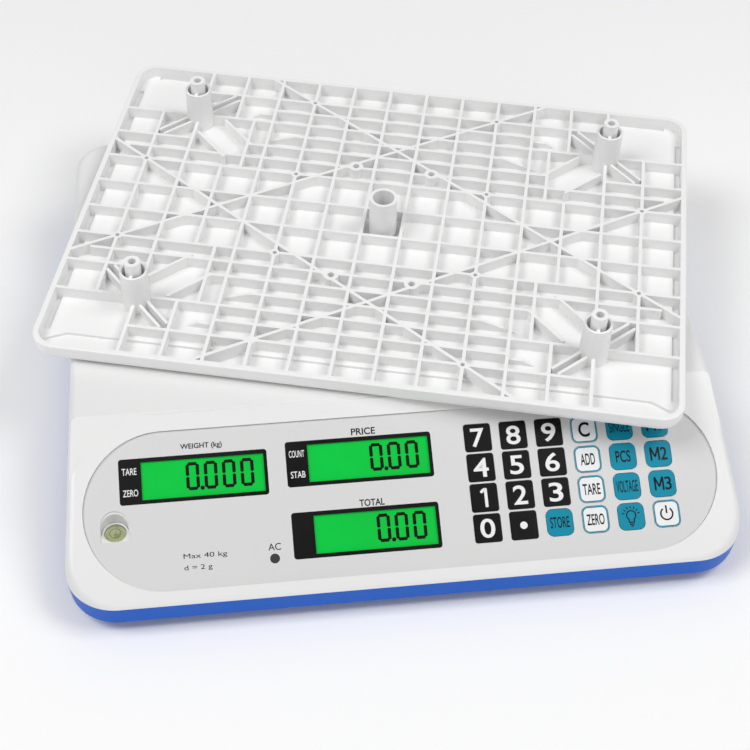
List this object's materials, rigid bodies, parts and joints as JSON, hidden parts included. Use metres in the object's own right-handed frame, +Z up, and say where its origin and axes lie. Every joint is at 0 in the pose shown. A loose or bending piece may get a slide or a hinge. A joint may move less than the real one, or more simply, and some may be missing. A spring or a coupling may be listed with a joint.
{
  "type": "retail price scale",
  "caption": "Low price-computing counter scale with a sloping control panel, display windows and keypad; its ribbed platter lies lifted off, face down, on the deck.",
  "frame": {"origin": "bottom centre of the bounding box, on the table that the feet stand on", "axes": "+Z up, -Y towards the operator and the control panel, +X to the operator's right"},
  "size_m": [0.3736, 0.3544, 0.0967],
  "materials": {
    "aluminium_alloy": "milled aluminium",
    "battery_case": "moulded battery case",
    "black_film": "printed polyester film, black",
    "black_key": "printed key, black with a white number",
    "black_plastic": "moulded black plastic",
    "black_rubber": "moulded rubber",
    "blue_abs": "smooth moulded blue ABS, semi-gloss",
    "brass_alloy": "turned brass",
    "cast_aluminium": "die-cast aluminium, as cast",
    "circuit_board": "green solder mask",
    "clear_plastic": "clear acrylic over a green-yellow liquid",
    "display_glass": "liquid crystal glass with a green backlight",
    "foot_plastic": "hard rubber foot on a threaded stud",
    "grey_film": "printed polyester film, fine satin texture",
    "iron_core": "laminated core and taped winding",
    "lamp_lens": "dark smoked plastic lens, lamp off",
    "light_guide": "green light guide",
    "teal_key": "printed key, teal with dark lettering",
    "white_abs": "smooth moulded white ABS, semi-gloss",
    "white_key": "printed key, white with a teal outline",
    "white_plastic": "moulded white plastic",
    "zinc_steel": "zinc-plated steel"
  },
  "bodies": {
    "base": {"backlights": "light_guide", "battery": "battery_case", "battery_door": "blue_abs", "board_screws": "zinc_steel", "cell_base_screws": "zinc_steel", "cell_spacers": "aluminium_alloy", "cell_top_screws": "zinc_steel", "charge_lamp": "lamp_lens", "display_window_price": "black_film", "display_window_total": "black_film", "display_window_weight": "black_film", "door_screws": "zinc_steel", "foot_inserts": "brass_alloy", "housing_screws": "zinc_steel", "inlet_pins": "brass_alloy", "key_switches": "black_plastic", "lcd_modules": "display_glass", "level_lens": "clear_plastic", "level_vial": "white_plastic", "load_cell": "aluminium_alloy", "lower_housing": "blue_abs", "main_board": "circuit_board", "mains_inlet": "black_plastic", "panel_overlay": "grey_film", "post_seats": "black_rubber", "rear_board": "circuit_board", "rear_overlay": "black_film", "spider_frame": "cast_aluminium", "transformer": "iron_core", "upper_housing": "white_abs"},
    "platter_body": {"platter": "white_abs"},
    "key_0_body": {"key_0": "black_key"},
    "key_1_body": {"key_1": "black_key"},
    "key_2_body": {"key_2": "black_key"},
    "key_3_body": {"key_3": "black_key"},
    "key_4_body": {"key_4": "black_key"},
    "key_5_body": {"key_5": "black_key"},
    "key_6_body": {"key_6": "black_key"},
    "key_7_body": {"key_7": "black_key"},
    "key_8_body": {"key_8": "black_key"},
    "key_9_body": {"key_9": "black_key"},
    "key_add_body": {"key_add": "white_key"},
    "key_clear_body": {"key_clear": "white_key"},
    "key_light_body": {"key_light": "teal_key"},
    "key_memory_1_body": {"key_memory_1": "teal_key"},
    "key_memory_2_body": {"key_memory_2": "teal_key"},
    "key_memory_3_body": {"key_memory_3": "teal_key"},
    "key_pieces_body": {"key_pieces": "teal_key"},
    "key_point_body": {"key_point": "black_key"},
    "key_power_body": {"key_power": "white_key"},
    "key_single_body": {"key_single": "teal_key"},
    "key_store_body": {"key_store": "teal_key"},
    "key_tare_body": {"key_tare": "white_key"},
    "key_voltage_body": {"key_voltage": "teal_key"},
    "key_zero_body": {"key_zero": "white_key"},
    "foot_front_left_body": {"foot_front_left": "foot_plastic"},
    "foot_front_right_body": {"foot_front_right": "foot_plastic"},
    "foot_back_left_body": {"foot_back_left": "foot_plastic"},
    "foot_back_right_body": {"foot_back_right": "foot_plastic"}
  },
  "joints": [
    {"name": "platter_lift", "type": "slide", "parent": "base", "child": "platter_body", "axis": [0, 0, 1], "range_m": [0, 0.12]},
    {"name": "key_0_press", "type": "slide", "parent": "base", "child": "key_0_body", "axis": [0, 0.4431, -0.8965], "range_m": [0, 0.0005], "stiffness_N_per_m": 3000},
    {"name": "key_1_press", "type": "slide", "parent": "base", "child": "key_1_body", "axis": [0, 0.4431, -0.8965], "range_m": [0, 0.0005], "stiffness_N_per_m": 3000},
    {"name": "key_2_press", "type": "slide", "parent": "base", "child": "key_2_body", "axis": [0, 0.4431, -0.8965], "range_m": [0, 0.0005], "stiffness_N_per_m": 3000},
    {"name": "key_3_press", "type": "slide", "parent": "base", "child": "key_3_body", "axis": [0, 0.4431, -0.8965], "range_m": [0, 0.0005], "stiffness_N_per_m": 3000},
    {"name": "key_4_press", "type": "slide", "parent": "base", "child": "key_4_body", "axis": [0, 0.4431, -0.8965], "range_m": [0, 0.0005], "stiffness_N_per_m": 3000},
    {"name": "key_5_press", "type": "slide", "parent": "base", "child": "key_5_body", "axis": [0, 0.4431, -0.8965], "range_m": [0, 0.0005], "stiffness_N_per_m": 3000},
    {"name": "key_6_press", "type": "slide", "parent": "base", "child": "key_6_body", "axis": [0, 0.4431, -0.8965], "range_m": [0, 0.0005], "stiffness_N_per_m": 3000},
    {"name": "key_7_press", "type": "slide", "parent": "base", "child": "key_7_body", "axis": [0, 0.4431, -0.8965], "range_m": [0, 0.0005], "stiffness_N_per_m": 3000},
    {"name": "key_8_press", "type": "slide", "parent": "base", "child": "key_8_body", "axis": [0, 0.4431, -0.8965], "range_m": [0, 0.0005], "stiffness_N_per_m": 3000},
    {"name": "key_9_press", "type": "slide", "parent": "base", "child": "key_9_body", "axis": [0, 0.4431, -0.8965], "range_m": [0, 0.0005], "stiffness_N_per_m": 3000},
    {"name": "key_add_press", "type": "slide", "parent": "base", "child": "key_add_body", "axis": [0, 0.4431, -0.8965], "range_m": [0, 0.0005], "stiffness_N_per_m": 3000},
    {"name": "key_clear_press", "type": "slide", "parent": "base", "child": "key_clear_body", "axis": [0, 0.4431, -0.8965], "range_m": [0, 0.0005], "stiffness_N_per_m": 3000},
    {"name": "key_light_press", "type": "slide", "parent": "base", "child": "key_light_body", "axis": [0, 0.4431, -0.8965], "range_m": [0, 0.0005], "stiffness_N_per_m": 3000},
    {"name": "key_memory_1_press", "type": "slide", "parent": "base", "child": "key_memory_1_body", "axis": [0, 0.4431, -0.8965], "range_m": [0, 0.0005], "stiffness_N_per_m": 3000},
    {"name": "key_memory_2_press", "type": "slide", "parent": "base", "child": "key_memory_2_body", "axis": [0, 0.4431, -0.8965], "range_m": [0, 0.0005], "stiffness_N_per_m": 3000},
    {"name": "key_memory_3_press", "type": "slide", "parent": "base", "child": "key_memory_3_body", "axis": [0, 0.4431, -0.8965], "range_m": [0, 0.0005], "stiffness_N_per_m": 3000},
    {"name": "key_pieces_press", "type": "slide", "parent": "base", "child": "key_pieces_body", "axis": [0, 0.4431, -0.8965], "range_m": [0, 0.0005], "stiffness_N_per_m": 3000},
    {"name": "key_point_press", "type": "slide", "parent": "base", "child": "key_point_body", "axis": [0, 0.4431, -0.8965], "range_m": [0, 0.0005], "stiffness_N_per_m": 3000},
    {"name": "key_power_press", "type": "slide", "parent": "base", "child": "key_power_body", "axis": [0, 0.4431, -0.8965], "range_m": [0, 0.0005], "stiffness_N_per_m": 3000},
    {"name": "key_single_press", "type": "slide", "parent": "base", "child": "key_single_body", "axis": [0, 0.4431, -0.8965], "range_m": [0, 0.0005], "stiffness_N_per_m": 3000},
    {"name": "key_store_press", "type": "slide", "parent": "base", "child": "key_store_body", "axis": [0, 0.4431, -0.8965], "range_m": [0, 0.0005], "stiffness_N_per_m": 3000},
    {"name": "key_tare_press", "type": "slide", "parent": "base", "child": "key_tare_body", "axis": [0, 0.4431, -0.8965], "range_m": [0, 0.0005], "stiffness_N_per_m": 3000},
    {"name": "key_voltage_press", "type": "slide", "parent": "base", "child": "key_voltage_body", "axis": [0, 0.4431, -0.8965], "range_m": [0, 0.0005], "stiffness_N_per_m": 3000},
    {"name": "key_zero_press", "type": "slide", "parent": "base", "child": "key_zero_body", "axis": [0, 0.4431, -0.8965], "range_m": [0, 0.0005], "stiffness_N_per_m": 3000},
    {"name": "foot_front_left_screw", "type": "slide", "parent": "base", "child": "foot_front_left_body", "axis": [0, 0, -1], "range_m": [-0.0015, 0.005]},
    {"name": "foot_front_right_screw", "type": "slide", "parent": "base", "child": "foot_front_right_body", "axis": [0, 0, -1], "range_m": [-0.0015, 0.005]},
    {"name": "foot_back_left_screw", "type": "slide", "parent": "base", "child": "foot_back_left_body", "axis": [0, 0, -1], "range_m": [-0.0015, 0.005]},
    {"name": "foot_back_right_screw", "type": "slide", "parent": "base", "child": "foot_back_right_body", "axis": [0, 0, -1], "range_m": [-0.0015, 0.005]}
  ]
}
